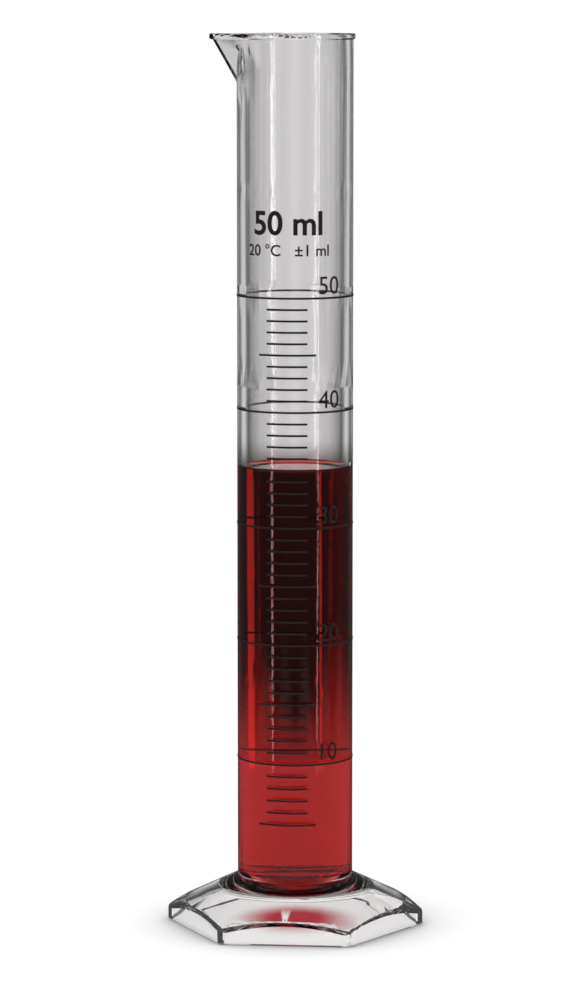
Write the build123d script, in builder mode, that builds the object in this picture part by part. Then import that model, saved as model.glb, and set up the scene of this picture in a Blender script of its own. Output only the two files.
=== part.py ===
from build123d import *
from math import cos, pi, radians, sin, sqrt, tan
import os

# Tall-form graduated cylinder in clear moulded plastic, standing on a hollow hexagonal foot.
# Millimetres. The origin is on the tube's axis in the plane of the foot's rim, +Z is up, the
# spout points along -X and the scale faces -Y. Two of the foot's corners lie on the X axis.

# Capacity and scale
capacity_ml = 50
first_mark_ml = 5
ring_step_ml = 10
long_step_ml = 5
fill_ml = 35
scale_length = 131.6
headroom = 57.75

# Tube
wall_at_rim = 1.4
bore_draft = 0.25
floor_height = 10.65
floor_thickness = 2.2
floor_bevel = 1.2
root_radius = 0.6

# Rim and spout
bead_height = 1.3
bead_reach = 0.4
bead_round = 0.35
bead_bevel = 0.3
lip_bevel = 0.3
spout_reach = 19.1
spout_depth = 10.8
spout_tip_radius = 0.9
spout_wall = 1.1
spout_valley_radius = 0.35
spout_sink = 1.0
cut_past = 1.0

# Foot
foot_across_flats = 50.5
foot_side_height = 5.1
foot_slope = 26.0
foot_shell = 1.8
foot_corner_radius = 1.6
foot_edge_radius = 0.9
foot_rim_bevel = 0.3

# Printed lines
line_height = 0.45
ink_thickness = 0.05
ink_clearance = 0.02
short_arc = 41.0
long_arc = 58.5
scale_angle = -3.0

# The bore is a slight cone, which the moulding core needs, and its size follows from the volume
# that it holds between the floor and the top mark. The bevel round the floor takes a little of
# that volume away: its section turned about the axis at the section's centroid.
flare = tan(radians(bore_draft))
widening = flare * scale_length
corner_area = floor_bevel**2 / 2
corner_centroid = floor_bevel / 3
linear = widening - 2 * corner_area / scale_length
held = 1000 * capacity_ml / (pi * scale_length) - 2 * corner_area * corner_centroid / scale_length
bore_floor_radius = (sqrt(linear**2 + 4 * (held - widening**2 / 3)) - linear) / 2
corner_volume = 2 * pi * corner_area * (bore_floor_radius - corner_centroid)

total_height = floor_height + scale_length + headroom
bore_rim_radius = bore_floor_radius + flare * (total_height - floor_height)
tube_radius = bore_rim_radius + wall_at_rim
underside_height = floor_height - floor_thickness

# The spout's ridge starts under the bead and meets the tube at the spout's depth
bead_middle = total_height - bead_height / 2
ridge_slope = (bead_middle - total_height + spout_depth) / (spout_reach - bead_reach - tube_radius)


def level(volume_ml):
    """Height of a volume's surface above the foot's rim, in the cone-shaped bore."""
    swept = 1000 * volume_ml + corner_volume
    radius = (bore_floor_radius**3 + 3 * flare * swept / pi) ** (1 / 3)
    return floor_height + (radius - bore_floor_radius) / flare


def rim_outline(radius, tip_radius, reach):
    """Outline on the open sketch's plane: a circle drawn out to the spout's rounded tip."""
    Circle(radius)
    with Locations((tip_radius - reach, 0)):
        Circle(tip_radius)
    make_hull()


def spout_form(radius, tip_radius, inset, top):
    """Solid under the rim's outline at a height, with its ridge running down into the wall.

    The ridge lies the inset inside the bead's tip, level with the middle of the bead.
    """
    reach = spout_reach - inset + (top - bead_middle) / ridge_slope
    run_out = top - ridge_slope * (reach - radius)
    with BuildPart() as form:
        with BuildSketch(Plane.XY.offset(top)) as mouth:
            rim_outline(radius, tip_radius, reach)
        loft([mouth.sketch, Vertex(spout_sink - radius, 0, run_out - ridge_slope * spout_sink)])
    return form.part


def bore_section(height, wall=Line):
    """Half of the bore's section, bevelled round the floor, from the floor up to a height.

    The wall is straight: a line, or a curve of two points, whose turned face takes fewer facets.
    """
    wall_top = (bore_floor_radius + flare * (height - floor_height), height)
    wall_foot = (bore_floor_radius + flare * floor_bevel, floor_height + floor_bevel)
    with BuildSketch(Plane.XZ) as section:
        with BuildLine():
            wall(wall_foot, wall_top)
            Polyline(
                wall_top,
                (0, height),
                (0, floor_height),
                (bore_floor_radius - floor_bevel, floor_height),
                wall_foot,
            )
        make_face()
    return section.sketch


# Hollow under the foot, the same shape as the foot itself at one shell thickness inside it
slope = tan(radians(foot_slope))
cone_height = foot_side_height + slope * foot_across_flats / 2
hollow_cone_height = cone_height - foot_shell / cos(radians(foot_slope))
with BuildPart() as hollow:
    with BuildSketch() as hollow_plan:
        RegularPolygon(foot_across_flats / 2 - foot_shell, 6, major_radius=False)
        fillet(hollow_plan.vertices(), foot_corner_radius)
    extrude(amount=underside_height)
    Cone(
        hollow_cone_height / slope,
        0,
        hollow_cone_height,
        align=(Align.CENTER, Align.CENTER, Align.MIN),
        mode=Mode.INTERSECT,
    )

# Bead round the rim and the spout's lip
with BuildPart() as bead:
    with BuildSketch(Plane.XY.offset(total_height - bead_height)):
        rim_outline(tube_radius + bead_reach, spout_tip_radius, spout_reach)
    extrude(amount=bead_height)
    fillet(bead.faces().sort_by(Axis.Z)[-1].edges(), bead_round)
    chamfer(bead.faces().sort_by(Axis.Z)[0].edges(), bead_bevel)

with BuildPart() as cylinder:
    # Foot: a six-sided prism under a shallow cone, so that each side ends in an arch at its top
    with BuildSketch() as foot_plan:
        RegularPolygon(foot_across_flats / 2, 6, major_radius=False)
        fillet(foot_plan.vertices(), foot_corner_radius)
    extrude(amount=cone_height)
    Cone(
        cone_height / slope,
        0,
        cone_height,
        align=(Align.CENTER, Align.CENTER, Align.MIN),
        mode=Mode.INTERSECT,
    )
    arches = cylinder.faces().filter_by(GeomType.CONE).edges()
    fillet(arches.filter_by(lambda edge: edge.geom_type != GeomType.LINE), foot_edge_radius)
    chamfer(cylinder.faces().sort_by(Axis.Z)[0].edges(), foot_rim_bevel)

    # Tube, with a small fillet where it grows out of the foot
    with Locations((0, 0, underside_height)):
        Cylinder(
            tube_radius,
            total_height - underside_height,
            align=(Align.CENTER, Align.CENTER, Align.MIN),
        )
    root = cylinder.edges().filter_by(GeomType.CIRCLE)
    fillet(root.filter_by_position(Axis.Z, foot_side_height, bead_middle)[0], root_radius)

    # Spout and bead outside, bore and the spout's valley inside, and the hollow under the foot
    add(spout_form(tube_radius, spout_tip_radius, bead_reach, bead_middle))
    add(bead.part)
    cut_top = total_height + cut_past
    revolve(bore_section(cut_top), axis=Axis.Z, mode=Mode.SUBTRACT)
    valley = spout_form(bore_rim_radius, spout_valley_radius, bead_reach + spout_wall, cut_top)
    add(valley, mode=Mode.SUBTRACT)
    add(hollow.part, mode=Mode.SUBTRACT)

    # Bevel inside the lip, cut at 45 degrees by a form that starts clear of the walls
    mouth_reach = spout_reach - bead_reach - spout_wall + (total_height - bead_middle) / ridge_slope
    for outward in (-3 * lip_bevel, lip_bevel + cut_past):
        with BuildSketch(Plane.XY.offset(total_height - lip_bevel + outward)):
            rim_outline(bore_rim_radius + outward, spout_valley_radius, mouth_reach + outward)
    loft(ruled=True, mode=Mode.SUBTRACT)

with BuildPart() as liquid:
    revolve(bore_section(level(fill_ml), wall=Bezier), axis=Axis.Z)

# Scale: lines of ink just clear of the tube's face
rings = list(range(ring_step_ml, capacity_ml + 1, ring_step_ml))
marks = range(first_mark_ml, capacity_ml + 1)
longs = [mark for mark in marks if mark % long_step_ml == 0 and mark not in rings]
shorts = [mark for mark in marks if mark % long_step_ml]
ink_middle = tube_radius + ink_clearance + ink_thickness / 2
with BuildPart() as scale_marks:
    for volumes, arc in ((rings, 360.0), (longs, long_arc), (shorts, short_arc)):
        start = radians(scale_angle - 90 - arc / 2)
        with BuildSketch(Plane((0, 0, 0), (cos(start), sin(start), 0), (sin(start), -cos(start), 0))):
            with Locations([(ink_middle, level(volume)) for volume in volumes]):
                Rectangle(ink_thickness, line_height)
        revolve(axis=Axis.Z, revolution_arc=arc)

cylinder.part.label = "cylinder"
liquid.part.label = "liquid"
scale_marks.part.label = "scale_marks"

os.makedirs("parts", exist_ok=True)
export_step(cylinder.part, "parts/cylinder.step")
export_step(liquid.part, "parts/liquid.step")
export_step(scale_marks.part, "parts/scale_marks.step")
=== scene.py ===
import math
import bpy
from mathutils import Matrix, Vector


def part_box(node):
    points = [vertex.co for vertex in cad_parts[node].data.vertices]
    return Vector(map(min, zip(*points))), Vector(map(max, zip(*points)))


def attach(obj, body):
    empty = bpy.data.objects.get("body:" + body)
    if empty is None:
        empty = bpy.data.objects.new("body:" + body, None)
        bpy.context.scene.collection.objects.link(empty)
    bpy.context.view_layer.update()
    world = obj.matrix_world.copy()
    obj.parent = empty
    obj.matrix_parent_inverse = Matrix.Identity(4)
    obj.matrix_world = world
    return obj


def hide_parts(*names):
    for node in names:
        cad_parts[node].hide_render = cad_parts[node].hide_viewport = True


bl_info = {
    "name": "Graduated Cylinder",
    "version": (1, 0, 0),
    "blender": (4, 5, 0),
    "location": "3D View > Sidebar > Graduated Cylinder",
    "description": "Clear moulded measuring cylinder with red filling, printed scale and a plain studio",
    "category": "Add Mesh",
}

import bpy
from bpy.props import FloatProperty, FloatVectorProperty, PointerProperty, StringProperty
from mathutils import Vector

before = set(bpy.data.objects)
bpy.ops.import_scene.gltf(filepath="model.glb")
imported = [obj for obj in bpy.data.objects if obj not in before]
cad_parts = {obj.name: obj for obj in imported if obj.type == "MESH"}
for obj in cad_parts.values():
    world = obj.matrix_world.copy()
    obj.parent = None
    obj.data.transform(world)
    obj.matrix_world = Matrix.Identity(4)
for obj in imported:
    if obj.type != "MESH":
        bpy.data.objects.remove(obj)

BODY = "root"

# Sizes that no box of the frame gives, in metres
INK_THICKNESS = 0.00005
INK_CLEARANCE = 0.00002
BORE_DRAFT = math.radians(0.25)
FLOOR_BEVEL = 0.0012
RING_STEP_ML = 10

# The frame's own sizes
RIM_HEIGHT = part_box("cylinder")[1].z
LIQUID_LOW, LIQUID_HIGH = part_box("liquid")
MARKS_LOW, MARKS_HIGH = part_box("scale_marks")
TUBE_RADIUS = (MARKS_HIGH.y - MARKS_LOW.y) / 2 - INK_THICKNESS - INK_CLEARANCE
BORE_AT_SURFACE = (LIQUID_HIGH.x - LIQUID_LOW.x) / 2

# Fineness of the meshes
TURN_STEPS = 160
WRAP_STEP = 0.0004
CREASE = math.radians(30)
MERGE = 0.000001
WALL_CUTS = 8
LIQUID_SPANS = 8
MENISCUS_STEPS = 10

# Finishes
PLASTIC_IOR = 1.5
FILLING_IOR = 1.33
WALL_COLOUR = (0.5, 0.45, 0.45)
RELIEF_DEPTH = 0.0001

# Studio, with levels as shares of white
FLOOR_RADIUS = 3.0
NEAR_FLOOR = (0.12, 0.45)
# Painted contact shadow on the floor, from how open it is nearby
SHADOW_REACH = 0.03
SHADOW_FALL = 2.0
SHADOW_LEVEL = 0.64
FLOOR_THROUGH_PLASTIC = 0.68
# Painted red light on the floor under the tube: its span from the axis and its colour
PAINTED_GLOW_SPAN = (0.005, 0.0165)
PAINTED_GLOW_COLOUR = (0.55, 0.06, 0.08, 1)
SCREEN_GAP = 0.0002
WINDOWS = 8.0
SILL_SPAN = (0.078, 0.088)
BENCH_LEVEL = 0.7
GLOSS_LEVEL = 0.07
LIGHT_BOUNCES = 32


def bore_radius(height):
    """Radius of the drafted bore at a height."""
    return BORE_AT_SURFACE + math.tan(BORE_DRAFT) * (height - LIQUID_HIGH.z)


def mark_heights():
    """Heights of the scale's full rings, in order, from the edges of the frame's marks."""
    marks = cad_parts["scale_marks"].data
    reach = TUBE_RADIUS * 0.9
    behind = sorted({round(v.co.z, 6) for v in marks.vertices if v.co.y > reach})
    return [(low + high) / 2 for low, high in zip(behind[::2], behind[1::2])]


# Settings


class MouldingSettings(bpy.types.PropertyGroup):
    tube_tint: FloatVectorProperty(
        name="Tube tint",
        description="Tint that one wall of the tube gives to what is seen through it",
        subtype="COLOR",
        size=3,
        min=0.0,
        max=1.0,
        default=(0.96, 0.95, 0.95),
    )
    foot_tint: FloatVectorProperty(
        name="Foot tint",
        description="Tint of the foot's thin shell",
        subtype="COLOR",
        size=3,
        min=0.0,
        max=1.0,
        default=(0.99, 0.98, 0.975),
    )
    wall_density: FloatProperty(
        name="Wall density",
        description="How strongly the plastic darkens light along its way, per metre",
        min=0.0,
        default=20.0,
    )
    haze: FloatProperty(
        name="Haze",
        description="Highest roughness of the polished surface",
        subtype="FACTOR",
        min=0.0,
        max=1.0,
        default=0.03,
    )


class LiquidSettings(bpy.types.PropertyGroup):
    # The two tints paint shade over the filling's height: its red is darker near the surface than near
    # the floor
    upper_colour: FloatVectorProperty(
        name="Upper colour",
        description="Tint of the filling near its surface",
        subtype="COLOR",
        size=3,
        min=0.0,
        max=1.0,
        default=(0.55, 0.06, 0.05),
    )
    lower_colour: FloatVectorProperty(
        name="Lower colour",
        description="Tint of the filling near the floor",
        subtype="COLOR",
        size=3,
        min=0.0,
        max=1.0,
        default=(0.68, 0.028, 0.026),
    )
    dye: FloatVectorProperty(
        name="Dye",
        description="Colour that the dye lets through",
        subtype="COLOR",
        size=3,
        min=0.0,
        max=1.0,
        default=(0.69, 0.06, 0.06),
    )
    dye_density: FloatProperty(
        name="Dye density",
        description="How strongly the dye takes up light along its way, per metre",
        min=0.0,
        default=100.0,
    )
    meniscus: FloatProperty(
        name="Meniscus",
        description="How far the surface climbs at the wall",
        subtype="DISTANCE",
        min=0.0,
        default=0.0006,
    )
    wall_overlap: FloatProperty(
        name="Wall overlap",
        description="How far the filling reaches into the wall, so that no air shows between them",
        subtype="DISTANCE",
        min=0.0,
        default=0.0001,
    )


class InkSettings(bpy.types.PropertyGroup):
    colour: FloatVectorProperty(
        name="Ink",
        description="Colour of the printed lines and figures",
        subtype="COLOR",
        size=3,
        min=0.0,
        max=1.0,
        default=(0.022, 0.014, 0.013),
    )
    capacity: StringProperty(
        name="Capacity",
        description="Large line above the scale",
        default="50 ml",
    )
    note: StringProperty(
        name="Note",
        description="Small line under the capacity",
        default="20 °C   ±1 ml",
    )
    figure_height: FloatProperty(
        name="Figure height",
        description="Height of the figures at the rings",
        subtype="DISTANCE",
        default=0.0039,
    )
    figure_angle: FloatProperty(
        name="Figure angle",
        description="Place of the figures round the tube, from the front towards the right",
        subtype="ANGLE",
        default=math.radians(40.9),
    )
    text_angle: FloatProperty(
        name="Text angle",
        description="Place of the two lines of text round the tube",
        subtype="ANGLE",
        default=math.radians(-2.5),
    )


class StudioSettings(bpy.types.PropertyGroup):
    world_level: FloatProperty(
        name="World level",
        description="Strength of the white surroundings as light",
        min=0.0,
        default=0.8,
    )
    window_level: FloatProperty(
        name="Windows",
        description="Radiance of the soft windows that clear plastic shows",
        min=0.0,
        default=0.75,
    )
    pillar_level: FloatProperty(
        name="Pillars",
        description="Radiance between the soft windows",
        min=0.0,
        default=0.13,
    )
    skirting_level: FloatProperty(
        name="Skirting",
        description="Radiance of the dark band under the windows",
        min=0.0,
        default=0.05,
    )
    view_angle: FloatProperty(
        name="View angle",
        description="Place of the camera round the object, from the front towards the right",
        subtype="ANGLE",
        default=math.radians(5.45),
    )
    distance: FloatProperty(
        name="Distance",
        description="Level distance from the tube's axis to the camera",
        subtype="DISTANCE",
        default=0.932,
    )
    height: FloatProperty(
        name="Height",
        description="Height of the camera above the floor",
        subtype="DISTANCE",
        default=0.2114,
    )
    pitch: FloatProperty(
        name="Pitch",
        description="How far the camera looks down",
        subtype="ANGLE",
        default=math.radians(7.05),
    )
    side_step: FloatProperty(
        name="Side step",
        description="How far the camera stands left of the line to the axis",
        subtype="DISTANCE",
        default=0.0008,
    )
    lens: FloatProperty(
        name="Lens",
        description="Focal length on a 36 mm sensor",
        subtype="DISTANCE_CAMERA",
        default=150.95,
    )


# Modelling helpers


def start_clean():
    """Leaves edit mode and deselects everything."""
    if bpy.context.mode != "OBJECT":
        bpy.ops.object.mode_set(mode="OBJECT")
    bpy.ops.object.select_all(action="DESELECT")


def take_up(piece):
    """Makes a piece the only selected and active one."""
    start_clean()
    piece.select_set(True)
    bpy.context.view_layer.objects.active = piece


def close_mesh(piece):
    """Merges doubles, points the faces outwards and smooths all but the creases."""
    take_up(piece)
    bpy.ops.object.mode_set(mode="EDIT")
    bpy.ops.mesh.select_all(action="SELECT")
    bpy.ops.mesh.remove_doubles(threshold=MERGE)
    bpy.ops.mesh.normals_make_consistent(inside=False)
    bpy.ops.object.mode_set(mode="OBJECT")
    bpy.ops.object.shade_smooth_by_angle(angle=CREASE)


def give(piece, material):
    """Gives a piece its material in a single slot, and lets it ride on the body."""
    piece.data.materials.clear()
    piece.data.materials.append(material)
    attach(piece, BODY)


def turned(name, rings):
    """Closed solid turned about the axis, from rings of radius and height, bottom first."""
    start_clean()
    radius, height = rings[0]
    bpy.ops.mesh.primitive_circle_add(
        vertices=TURN_STEPS, radius=radius, fill_type="NGON", location=(0, 0, height)
    )
    piece = bpy.context.object
    piece.name = piece.data.name = name
    bpy.ops.object.transform_apply(location=True, rotation=True, scale=True)
    bpy.ops.object.mode_set(mode="EDIT")
    bpy.ops.mesh.select_all(action="SELECT")
    for next_radius, next_height in rings[1:]:
        bpy.ops.mesh.extrude_region_move(
            TRANSFORM_OT_translate={"value": (0, 0, next_height - height)}
        )
        share = next_radius / radius
        bpy.ops.transform.resize(value=(share, share, 1))
        radius, height = next_radius, next_height
    close_mesh(piece)
    return piece


# Materials


def new_group(name, inputs, outputs):
    """Empty shader node group with the given sockets, each a (type, name, default)."""
    group = bpy.data.node_groups.new(name, "ShaderNodeTree")
    for kind, label, value in inputs:
        socket = group.interface.new_socket(label, in_out="INPUT", socket_type=kind)
        socket.default_value = value
    for kind, label in outputs:
        group.interface.new_socket(label, in_out="OUTPUT", socket_type=kind)
    return group


def surface_wear_group():
    """Fine waves of the moulding and faint handling marks, as a roughness and a height."""
    group = new_group(
        "surface_wear",
        [
            ("NodeSocketFloat", "Wave size", 60.0),
            ("NodeSocketFloat", "Mark size", 900.0),
            ("NodeSocketFloat", "Least roughness", 0.0),
            ("NodeSocketFloat", "Most roughness", 0.05),
        ],
        [("NodeSocketFloat", "Roughness"), ("NodeSocketFloat", "Height")],
    )
    nodes, links = group.nodes, group.links
    entry = nodes.new("NodeGroupInput")
    leave = nodes.new("NodeGroupOutput")
    place = nodes.new("ShaderNodeTexCoord")
    waves = nodes.new("ShaderNodeTexNoise")
    waves.inputs["Detail"].default_value = 1.0
    marks = nodes.new("ShaderNodeTexNoise")
    marks.inputs["Detail"].default_value = 4.0
    spread = nodes.new("ShaderNodeMapRange")
    spread.inputs["From Min"].default_value = 0.45
    spread.inputs["From Max"].default_value = 0.75
    links.new(place.outputs["Object"], waves.inputs["Vector"])
    links.new(place.outputs["Object"], marks.inputs["Vector"])
    links.new(entry.outputs["Wave size"], waves.inputs["Scale"])
    links.new(entry.outputs["Mark size"], marks.inputs["Scale"])
    links.new(marks.outputs["Fac"], spread.inputs["Value"])
    links.new(entry.outputs["Least roughness"], spread.inputs["To Min"])
    links.new(entry.outputs["Most roughness"], spread.inputs["To Max"])
    links.new(spread.outputs["Result"], leave.inputs["Roughness"])
    links.new(waves.outputs["Fac"], leave.inputs["Height"])
    return group


def height_blend_group():
    """Blend of two colours over a stretch of height."""
    group = new_group(
        "height_blend",
        [
            ("NodeSocketColor", "Lower", (1, 1, 1, 1)),
            ("NodeSocketColor", "Upper", (1, 1, 1, 1)),
            ("NodeSocketFloat", "Start", 0.0),
            ("NodeSocketFloat", "End", 1.0),
        ],
        [("NodeSocketColor", "Colour")],
    )
    nodes, links = group.nodes, group.links
    entry = nodes.new("NodeGroupInput")
    leave = nodes.new("NodeGroupOutput")
    place = nodes.new("ShaderNodeTexCoord")
    split = nodes.new("ShaderNodeSeparateXYZ")
    share = nodes.new("ShaderNodeMapRange")
    share.interpolation_type = "SMOOTHSTEP"
    blend = nodes.new("ShaderNodeMix")
    blend.data_type = "RGBA"
    links.new(place.outputs["Object"], split.inputs["Vector"])
    links.new(split.outputs["Z"], share.inputs["Value"])
    links.new(entry.outputs["Start"], share.inputs["From Min"])
    links.new(entry.outputs["End"], share.inputs["From Max"])
    links.new(share.outputs["Result"], blend.inputs["Factor"])
    links.new(entry.outputs["Lower"], blend.inputs["A"])
    links.new(entry.outputs["Upper"], blend.inputs["B"])
    links.new(blend.outputs["Result"], leave.inputs["Colour"])
    return group


def shared_group(name, make):
    """The node group of that name, made the first time it is asked for."""
    return bpy.data.node_groups.get(name) or make()


def place_group(material, group, values):
    """Puts a node group in a material with its own values."""
    node = material.node_tree.nodes.new("ShaderNodeGroup")
    node.node_tree = group
    for label, value in values.items():
        node.inputs[label].default_value = value
    return node


def new_material(name):
    """Material with its Principled shader, its tree and its output."""
    material = bpy.data.materials.new(name)
    material.use_nodes = True
    nodes = material.node_tree.nodes
    return material, nodes["Principled BSDF"], nodes["Material Output"]


def colour4(colour):
    """Colour with full alpha, as colour sockets take it."""
    return (*colour, 1.0)


def clear_material(name, tint, roughness, bump, ior, dye, density):
    """See-through material: tint and roughness over the surface, dye along the way."""
    material, shader, output = new_material(name)
    nodes, links = material.node_tree.nodes, material.node_tree.links
    shader.inputs["Transmission Weight"].default_value = 1.0
    shader.inputs["IOR"].default_value = ior
    blend = place_group(material, shared_group("height_blend", height_blend_group), tint)
    wear = place_group(material, shared_group("surface_wear", surface_wear_group), roughness)
    relief = nodes.new("ShaderNodeBump")
    relief.inputs["Strength"].default_value = bump
    relief.inputs["Distance"].default_value = RELIEF_DEPTH
    inside = nodes.new("ShaderNodeVolumeAbsorption")
    inside.inputs["Color"].default_value = colour4(dye)
    inside.inputs["Density"].default_value = density
    links.new(blend.outputs["Colour"], shader.inputs["Base Color"])
    links.new(wear.outputs["Roughness"], shader.inputs["Roughness"])
    links.new(wear.outputs["Height"], relief.inputs["Height"])
    links.new(relief.outputs["Normal"], shader.inputs["Normal"])
    links.new(inside.outputs["Volume"], output.inputs["Volume"])
    return material


def ink_material(ink):
    """Screen-printed ink, a little uneven in cover and gloss."""
    known = bpy.data.materials.get("printed_ink")
    if known:
        return known
    material, shader, _ = new_material("printed_ink")
    nodes, links = material.node_tree.nodes, material.node_tree.links
    wear = place_group(
        material,
        shared_group("surface_wear", surface_wear_group),
        {"Wave size": 700.0, "Mark size": 2500.0, "Least roughness": 0.35, "Most roughness": 0.6},
    )
    cover = nodes.new("ShaderNodeMix")
    cover.data_type = "RGBA"
    cover.inputs["A"].default_value = colour4(ink.colour)
    cover.inputs["B"].default_value = colour4([c * 2.2 for c in ink.colour])
    links.new(wear.outputs["Height"], cover.inputs["Factor"])
    links.new(cover.outputs["Result"], shader.inputs["Base Color"])
    links.new(wear.outputs["Roughness"], shader.inputs["Roughness"])
    return material


# Lettering


def lettering(name, text, cap_height, weight, angle, base_height, depth):
    """Closed raised text, wrapped round the tube with its foot at a height."""
    start_clean()
    bpy.ops.object.text_add(location=(0, 0, 0))
    piece = bpy.context.object
    piece.name = piece.data.name = name
    piece.data.body = text
    piece.data.size = 1.0
    piece.data.align_x = "CENTER"
    piece.data.offset = weight
    piece.data.resolution_u = 6
    bpy.ops.object.convert(target="MESH")
    piece = bpy.context.object
    rise = max(v.co.y for v in piece.data.vertices)
    left = min(v.co.x for v in piece.data.vertices)
    right = max(v.co.x for v in piece.data.vertices)
    scale = cap_height / rise
    bpy.ops.object.mode_set(mode="EDIT")
    bpy.ops.mesh.select_all(action="SELECT")
    bpy.ops.mesh.remove_doubles(threshold=0.0001)
    middle = (left + right) / 2
    cuts = int((right - left) * scale / WRAP_STEP)
    for cut in range(1, cuts):
        bpy.ops.mesh.select_all(action="SELECT")
        bpy.ops.mesh.bisect(
            plane_co=(left + (right - left) * cut / cuts, 0, 0), plane_no=(1, 0, 0)
        )
    bpy.ops.mesh.select_all(action="SELECT")
    bpy.ops.mesh.quads_convert_to_tris()
    bpy.ops.object.mode_set(mode="OBJECT")
    radius = TUBE_RADIUS + INK_CLEARANCE
    for vertex in piece.data.vertices:
        x, y = (vertex.co.x - middle) * scale, vertex.co.y * scale
        turn = angle + x / radius
        vertex.co = (radius * math.sin(turn), -radius * math.cos(turn), base_height + y)
    bpy.ops.object.modifier_add(type="SOLIDIFY")
    piece.modifiers[-1].thickness = depth
    piece.modifiers[-1].offset = 1.0
    bpy.ops.object.modifier_apply(modifier=piece.modifiers[-1].name)
    close_mesh(piece)
    return piece


# Pieces


class CYLINDER_OT_moulding(bpy.types.Operator):
    """Clear moulding: a merged and smoothed copy of the frame's cylinder"""

    bl_idname = "cylinder.moulding"
    bl_label = "Clear moulding"

    def execute(self, context):
        settings = context.scene.cylinder_moulding
        start_clean()
        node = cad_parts["cylinder"]
        piece = bpy.data.objects.new("clear_moulding", node.data.copy())
        context.scene.collection.objects.link(piece)
        take_up(piece)
        bpy.ops.mesh.customdata_custom_splitnormals_clear()
        bpy.ops.object.mode_set(mode="EDIT")
        bpy.ops.mesh.select_all(action="SELECT")
        bpy.ops.mesh.remove_doubles(threshold=MERGE)
        # Cuts across the long wall keep the shading of its ends out of its middle
        above_foot, under_spout = 0.0135, RIM_HEIGHT - 0.0125
        for cut in range(WALL_CUTS + 1):
            height = above_foot + (under_spout - above_foot) * cut / WALL_CUTS
            bpy.ops.mesh.select_all(action="SELECT")
            bpy.ops.mesh.bisect(plane_co=(0, 0, height), plane_no=(0, 0, 1))
        bpy.ops.object.mode_set(mode="OBJECT")
        bpy.ops.object.shade_smooth_by_angle(angle=CREASE)
        material = clear_material(
            "clear_plastic",
            tint={
                "Lower": colour4(settings.foot_tint),
                "Upper": colour4(settings.tube_tint),
                "Start": 0.009,
                "End": 0.016,
            },
            roughness={
                "Wave size": 45.0,
                "Mark size": 700.0,
                "Least roughness": 0.0,
                "Most roughness": settings.haze,
            },
            bump=0.15,
            ior=PLASTIC_IOR,
            dye=WALL_COLOUR,
            density=settings.wall_density,
        )
        give(piece, material)
        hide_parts("cylinder")
        return {"FINISHED"}


class CYLINDER_OT_liquid(bpy.types.Operator):
    """Red filling with its meniscus, seated in the bore"""

    bl_idname = "cylinder.liquid"
    bl_label = "Red filling"

    def execute(self, context):
        settings = context.scene.cylinder_liquid
        overlap = settings.wall_overlap
        floor, surface = LIQUID_LOW.z, LIQUID_HIGH.z
        corner = bore_radius(floor) - FLOOR_BEVEL
        wall_foot = floor + FLOOR_BEVEL
        corner_overlap = overlap * 0.4
        rings = [
            (corner * 0.5, floor - overlap),
            (corner + corner_overlap, floor - overlap),
            (bore_radius(wall_foot) + overlap, wall_foot - corner_overlap),
        ]
        wall_top = surface - settings.meniscus * 0.2
        for span in range(1, LIQUID_SPANS + 1):
            height = wall_foot + (wall_top - wall_foot) * span / LIQUID_SPANS
            rings.append((bore_radius(height) + overlap, height))

        # The surface climbs at the wall and is level from the meniscus's width inwards
        edge, level = bore_radius(surface), surface - settings.meniscus
        climb_width, steepness = 0.0016, 4
        for step in range(MENISCUS_STEPS + 1):
            share = step / MENISCUS_STEPS
            climb = settings.meniscus * (math.exp(-steepness * share) - math.exp(-steepness))
            rings.append((edge - climb_width * share, level + climb))
        rings.append((edge * 0.5, level))
        piece = turned("red_filling", rings)
        # Painted shade: the tint goes from a lit red at the floor to a darker red near the surface,
        # between the heights Start and End
        material = clear_material(
            "red_liquid",
            tint={
                "Lower": colour4(settings.lower_colour),
                "Upper": colour4(settings.upper_colour),
                "Start": 0.030,
                "End": 0.072,
            },
            roughness={
                "Wave size": 20.0,
                "Mark size": 300.0,
                "Least roughness": 0.0,
                "Most roughness": 0.004,
            },
            bump=0.02,
            ior=FILLING_IOR,
            dye=settings.dye,
            density=settings.dye_density,
        )
        give(piece, material)
        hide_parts("liquid")
        return {"FINISHED"}


class CYLINDER_OT_scale(bpy.types.Operator):
    """Ink on the frame's scale lines"""

    bl_idname = "cylinder.scale"
    bl_label = "Scale lines"

    def execute(self, context):
        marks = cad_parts["scale_marks"]
        marks.data.materials.clear()
        marks.data.materials.append(ink_material(context.scene.cylinder_ink))
        return {"FINISHED"}


class CYLINDER_OT_figures(bpy.types.Operator):
    """Figures just above the right-hand part of each full ring"""

    bl_idname = "cylinder.figures"
    bl_label = "Ring figures"

    def execute(self, context):
        ink = context.scene.cylinder_ink
        clear_of_line = 0.0009
        for index, height in enumerate(mark_heights()):
            volume = RING_STEP_ML * (index + 1)
            piece = lettering(
                f"figure_{volume}",
                str(volume),
                ink.figure_height,
                0.0,
                ink.figure_angle,
                height + clear_of_line,
                INK_THICKNESS,
            )
            give(piece, ink_material(ink))
        return {"FINISHED"}


class CYLINDER_OT_capacity(bpy.types.Operator):
    """Capacity and accuracy printed above the scale"""

    bl_idname = "cylinder.capacity"
    bl_label = "Capacity text"

    def execute(self, context):
        ink = context.scene.cylinder_ink
        # Name, text, height of the capitals, added weight, height of the line's foot
        lines = (
            ("capacity_text", ink.capacity, 0.0052, 0.022, 0.1563),
            ("accuracy_text", ink.note, 0.0026, 0.012, 0.1516),
        )
        for name, text, cap_height, weight, base_height in lines:
            piece = lettering(
                name, text, cap_height, weight, ink.text_angle, base_height, INK_THICKNESS
            )
            give(piece, ink_material(ink))
        return {"FINISHED"}


# Studio


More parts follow.
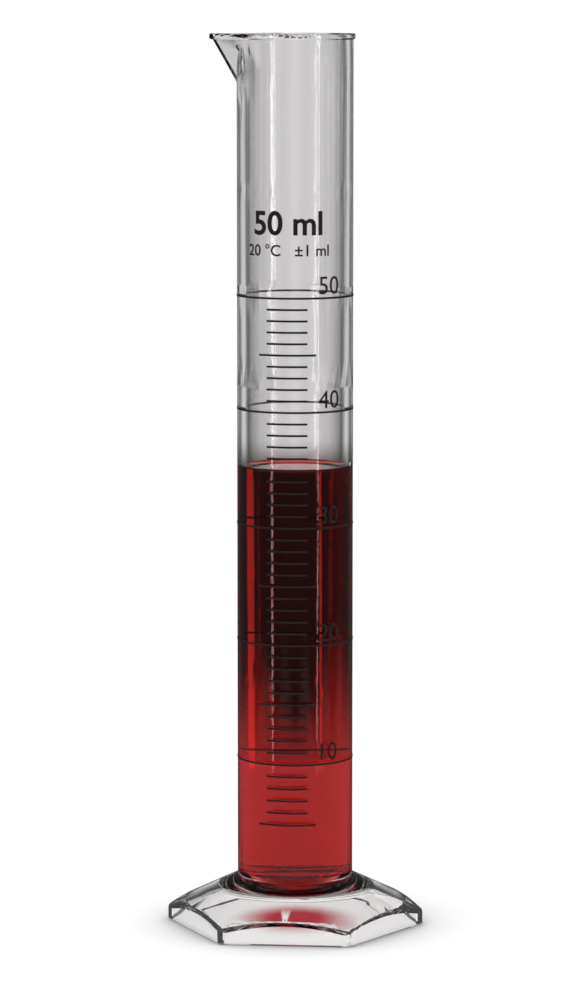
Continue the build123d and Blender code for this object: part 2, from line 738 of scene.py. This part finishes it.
class CYLINDER_OT_studio(bpy.types.Operator):
    """White floor and surroundings, soft lamps and the camera"""

    bl_idname = "cylinder.studio"
    bl_label = "Studio"

    def execute(self, context):
        settings = context.scene.cylinder_studio
        self.floor()
        self.world(context.scene, settings)
        self.lamps(settings)
        self.screens(settings)
        self.camera(context.scene, settings)
        context.scene.view_settings.view_transform = "Standard"
        # Light turns many corners inside a clear moulding before it leaves
        cycles = context.scene.cycles
        cycles.max_bounces = LIGHT_BOUNCES
        cycles.glossy_bounces = cycles.transmission_bounces = LIGHT_BOUNCES
        return {"FINISHED"}

    def floor(self):
        """White floor without a horizon, with a soft contact shadow that is partly cast and partly
        painted, and a painted red glow of the dye's colour under the tube.
        """
        start_clean()
        bpy.ops.mesh.primitive_circle_add(
            vertices=96, radius=FLOOR_RADIUS, fill_type="TRIFAN", location=(0, 0, -0.0001)
        )
        floor = bpy.context.object
        floor.name = floor.data.name = "studio_floor"
        bpy.ops.object.transform_apply(location=True, rotation=True, scale=True)
        material, shader, _ = new_material("studio_white")
        tree = material.node_tree
        nodes, links = tree.nodes, tree.links
        shader.inputs["Roughness"].default_value = 0.9
        shader.inputs["Specular IOR Level"].default_value = 0.0
        place = nodes.new("ShaderNodeTexCoord").outputs["Object"]
        reach = nodes.new("ShaderNodeVectorMath")
        reach.operation = "LENGTH"
        links.new(place, reach.inputs[0])
        near = self.ramp(tree, reach.outputs["Value"], NEAR_FLOOR, (1.0, 0.0))

        # Painted shadow: the floor's emission is darkened by how open it is within a few centimetres,
        # over the real shadow in its dim diffuse light; far off it is plain white
        cover = nodes.new("ShaderNodeAmbientOcclusion")
        cover.inputs["Distance"].default_value = SHADOW_REACH
        cover.samples = 8
        deepen = self.calc(tree, "POWER", cover.outputs["AO"], SHADOW_FALL)
        shaded = self.calc(tree, "MULTIPLY", deepen, SHADOW_LEVEL)
        far = self.calc(tree, "SUBTRACT", 1.0, near)
        shown = self.calc(tree, "MULTIPLY_ADD", shaded, near, far)
        through = self.calc(tree, "MULTIPLY_ADD", near, FLOOR_THROUGH_PLASTIC, far)

        from_camera, by_object = self.rays(tree)
        to_camera = self.calc(tree, "MULTIPLY", shown, from_camera)
        strength = self.calc(tree, "MULTIPLY_ADD", through, by_object, to_camera)

        # Glow: a painted pool of red light in the floor's colour and emission, standing in for the light
        # that falls through the filling onto the floor inside the foot
        glow = self.ramp(tree, reach.outputs["Value"], PAINTED_GLOW_SPAN, (1.0, 0.0))
        tint = nodes.new("ShaderNodeMix")
        tint.data_type = "RGBA"
        tint.inputs["A"].default_value = (1, 1, 1, 1)
        tint.inputs["B"].default_value = PAINTED_GLOW_COLOUR
        links.new(glow, tint.inputs["Factor"])
        shade = nodes.new("ShaderNodeVectorMath")
        shade.operation = "SCALE"
        links.new(tint.outputs["Result"], shade.inputs[0])
        links.new(self.calc(tree, "MULTIPLY", near, 0.5), shade.inputs["Scale"])
        links.new(shade.outputs["Vector"], shader.inputs["Base Color"])
        links.new(tint.outputs["Result"], shader.inputs["Emission Color"])
        links.new(strength, shader.inputs["Emission Strength"])
        floor.data.materials.append(material)

    def rays(self, tree):
        """Camera rays, and rays that leave the object by gloss or through it."""
        path = tree.nodes.new("ShaderNodeLightPath").outputs
        by_object = self.calc(tree, "MAXIMUM", path["Is Glossy Ray"], path["Is Transmission Ray"])
        return path["Is Camera Ray"], by_object

    def calc(self, tree, operation, *values):
        """Output of a Math node whose inputs are numbers or sockets."""
        node = tree.nodes.new("ShaderNodeMath")
        node.operation = operation
        for socket, value in zip(node.inputs, values):
            if isinstance(value, (int, float)):
                socket.default_value = value
            else:
                tree.links.new(value, socket)
        return node.outputs["Value"]

    def ramp(self, tree, value, span, levels):
        """Output that goes smoothly from one level to the other over a span."""
        node = tree.nodes.new("ShaderNodeMapRange")
        node.interpolation_type = "SMOOTHSTEP"
        node.inputs["From Min"].default_value, node.inputs["From Max"].default_value = span
        node.inputs["To Min"].default_value, node.inputs["To Max"].default_value = levels
        tree.links.new(value, node.inputs["Value"])
        return node.outputs["Result"]

    def world(self, scene, settings):
        """Surroundings that show white, and light the object a little less."""
        world = bpy.data.worlds.new("studio_world")
        scene.world = world
        world.use_nodes = True
        tree = world.node_tree
        background = tree.nodes["Background"]
        background.inputs["Color"].default_value = (1, 1, 1, 1)
        from_camera, by_object = self.rays(tree)
        seen = self.calc(tree, "MAXIMUM", by_object, from_camera)
        level = tree.nodes.new("ShaderNodeMapRange")
        level.inputs["To Min"].default_value = settings.world_level
        level.inputs["To Max"].default_value = 1.0
        tree.links.new(seen, level.inputs["Value"])
        tree.links.new(level.outputs["Result"], background.inputs["Strength"])

    def screen(self, name, radius, height, ends):
        """Round screen about the object, with its shader that only glows, and its tree."""
        start_clean()
        bpy.ops.mesh.primitive_cylinder_add(
            vertices=128,
            radius=radius,
            depth=height,
            end_fill_type=ends,
            location=(0, 0, height / 2 + SCREEN_GAP),
        )
        screen = bpy.context.object
        screen.name = screen.data.name = name
        bpy.ops.object.transform_apply(location=True, rotation=True, scale=True)
        bpy.ops.object.shade_smooth()
        material, shader, _ = new_material(name)
        shader.inputs["Base Color"].default_value = (0, 0, 0, 1)
        shader.inputs["Specular IOR Level"].default_value = 0.0
        shader.inputs["Emission Color"].default_value = (1, 1, 1, 1)
        screen.data.materials.append(material)
        screen.visible_camera = screen.visible_diffuse = screen.visible_shadow = False
        return screen, shader, material.node_tree

    def screens(self, settings):
        """Surroundings that only clear plastic shows: soft windows over a dark skirting.

        A second screen, shut all round, keeps the white surroundings out of the gloss.
        """
        screen, shader, tree = self.screen("window_screen", 0.20, 0.5, "NOTHING")
        screen.visible_glossy = False
        place = tree.nodes.new("ShaderNodeTexCoord")
        split = tree.nodes.new("ShaderNodeSeparateXYZ")
        tree.links.new(place.outputs["Object"], split.inputs["Vector"])
        turn = self.calc(tree, "ARCTAN2", split.outputs["X"], split.outputs["Y"])
        turn = self.calc(tree, "ADD", turn, settings.view_angle)
        wave = self.calc(tree, "COSINE", self.calc(tree, "MULTIPLY", turn, WINDOWS))
        swing = (settings.window_level - settings.pillar_level) / 2
        middle = (settings.window_level + settings.pillar_level) / 2
        window = self.calc(tree, "MULTIPLY_ADD", wave, swing, middle)
        above = self.ramp(tree, split.outputs["Z"], SILL_SPAN, (0.0, 1.0))

        # Under the windows the skirting fades from the bench's light, sooner below a window
        edge = self.calc(tree, "MULTIPLY_ADD", wave, -0.014, 0.030)
        share = self.calc(tree, "DIVIDE", split.outputs["Z"], edge)
        bench = self.ramp(tree, share, (0.0, 1.0), (BENCH_LEVEL, settings.skirting_level))
        below = self.calc(tree, "MULTIPLY", bench, self.calc(tree, "SUBTRACT", 1.0, above))
        strength = self.calc(tree, "MULTIPLY_ADD", window, above, below)
        tree.links.new(strength, shader.inputs["Emission Strength"])

        screen, shader, tree = self.screen("gloss_screen", 0.09, 0.26, "NGON")
        screen.visible_transmission = False
        shader.inputs["Emission Strength"].default_value = GLOSS_LEVEL

    def lamps(self, settings):
        """Tall strips that clear plastic shows, and a soft box overhead that lights the object."""
        view = math.degrees(settings.view_angle)
        behind = view + 180
        tall, low = 0.30, 0.082
        # Name, place round the object, width, height, radiance
        strips = (
            ("strip_front_left", view - 50.0, 0.016, tall, 6.0),
            ("strip_front_right", view + 50.0, 0.010, tall, 6.0),
            ("strip_back_right", behind - 24.5, 0.024, low, 1.0),
            ("strip_back_left", behind + 10.3, 0.004, low, 1.2),
        )
        reach = 0.18
        for name, angle, width, height, level in strips:
            turn = math.radians(angle)
            start_clean()
            bpy.ops.object.light_add(
                type="AREA",
                location=(reach * math.sin(turn), -reach * math.cos(turn), height / 2 + 0.001),
                rotation=(math.radians(90), 0, turn),
            )
            lamp = bpy.context.object
            lamp.name = lamp.data.name = name
            lamp.data.shape = "RECTANGLE"
            lamp.data.size, lamp.data.size_y = width, height
            lamp.data.energy = math.pi * width * height * level
            lamp.visible_camera = lamp.visible_glossy = lamp.visible_diffuse = False
        start_clean()
        bpy.ops.object.light_add(type="AREA", location=(-0.3, -0.2, 0.9))
        lamp = bpy.context.object
        lamp.name = lamp.data.name = "soft_box"
        lamp.rotation_euler = Vector((-0.3, -0.2, 0.8)).to_track_quat("Z", "Y").to_euler()
        lamp.data.shape = "SQUARE"
        side, level = 0.6, 0.8
        lamp.data.size = side
        lamp.data.energy = math.pi * side**2 * level
        lamp.visible_camera = False

    def camera(self, scene, settings):
        """Camera at the photograph's viewing angle."""
        turn = settings.view_angle
        away, aside = settings.distance, settings.side_step
        place = (
            away * math.sin(turn) - aside * math.cos(turn),
            -away * math.cos(turn) - aside * math.sin(turn),
            settings.height,
        )
        start_clean()
        bpy.ops.object.camera_add(
            location=place, rotation=(math.radians(90) - settings.pitch, 0, turn)
        )
        camera = bpy.context.object
        camera.name = camera.data.name = "camera"
        camera.data.lens = settings.lens
        camera.data.sensor_width = 36.0
        camera.data.clip_start = 0.01
        scene.camera = camera


class CYLINDER_PT_panel(bpy.types.Panel):
    """Lists the pieces of the graduated cylinder and its studio"""

    bl_idname = "CYLINDER_PT_panel"
    bl_label = "Graduated Cylinder"
    bl_space_type = "VIEW_3D"
    bl_region_type = "UI"
    bl_category = "Graduated Cylinder"

    def draw(self, context):
        column = self.layout.column(align=True)
        for operator in PIECES:
            column.operator(operator.bl_idname)
        for _, name in SETTINGS:
            group = getattr(context.scene, name)
            box = self.layout.box()
            for label in group.__annotations__:
                box.prop(group, label)


SETTINGS = (
    (MouldingSettings, "cylinder_moulding"),
    (LiquidSettings, "cylinder_liquid"),
    (InkSettings, "cylinder_ink"),
    (StudioSettings, "cylinder_studio"),
)
PIECES = (
    CYLINDER_OT_moulding,
    CYLINDER_OT_liquid,
    CYLINDER_OT_scale,
    CYLINDER_OT_figures,
    CYLINDER_OT_capacity,
    CYLINDER_OT_studio,
)


def register():
    for group, name in SETTINGS:
        bpy.utils.register_class(group)
        setattr(bpy.types.Scene, name, PointerProperty(type=group))
    for operator in PIECES:
        bpy.utils.register_class(operator)
    bpy.utils.register_class(CYLINDER_PT_panel)


def unregister():
    bpy.utils.unregister_class(CYLINDER_PT_panel)
    for operator in reversed(PIECES):
        bpy.utils.unregister_class(operator)
    for group, name in reversed(SETTINGS):
        delattr(bpy.types.Scene, name)
        bpy.utils.unregister_class(group)


def main():
    """Makes every piece and the studio."""
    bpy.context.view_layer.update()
    register()
    bpy.ops.cylinder.moulding()
    bpy.ops.cylinder.liquid()
    bpy.ops.cylinder.scale()
    bpy.ops.cylinder.figures()
    bpy.ops.cylinder.capacity()
    bpy.ops.cylinder.studio()


if __name__ == "__main__":
    main()
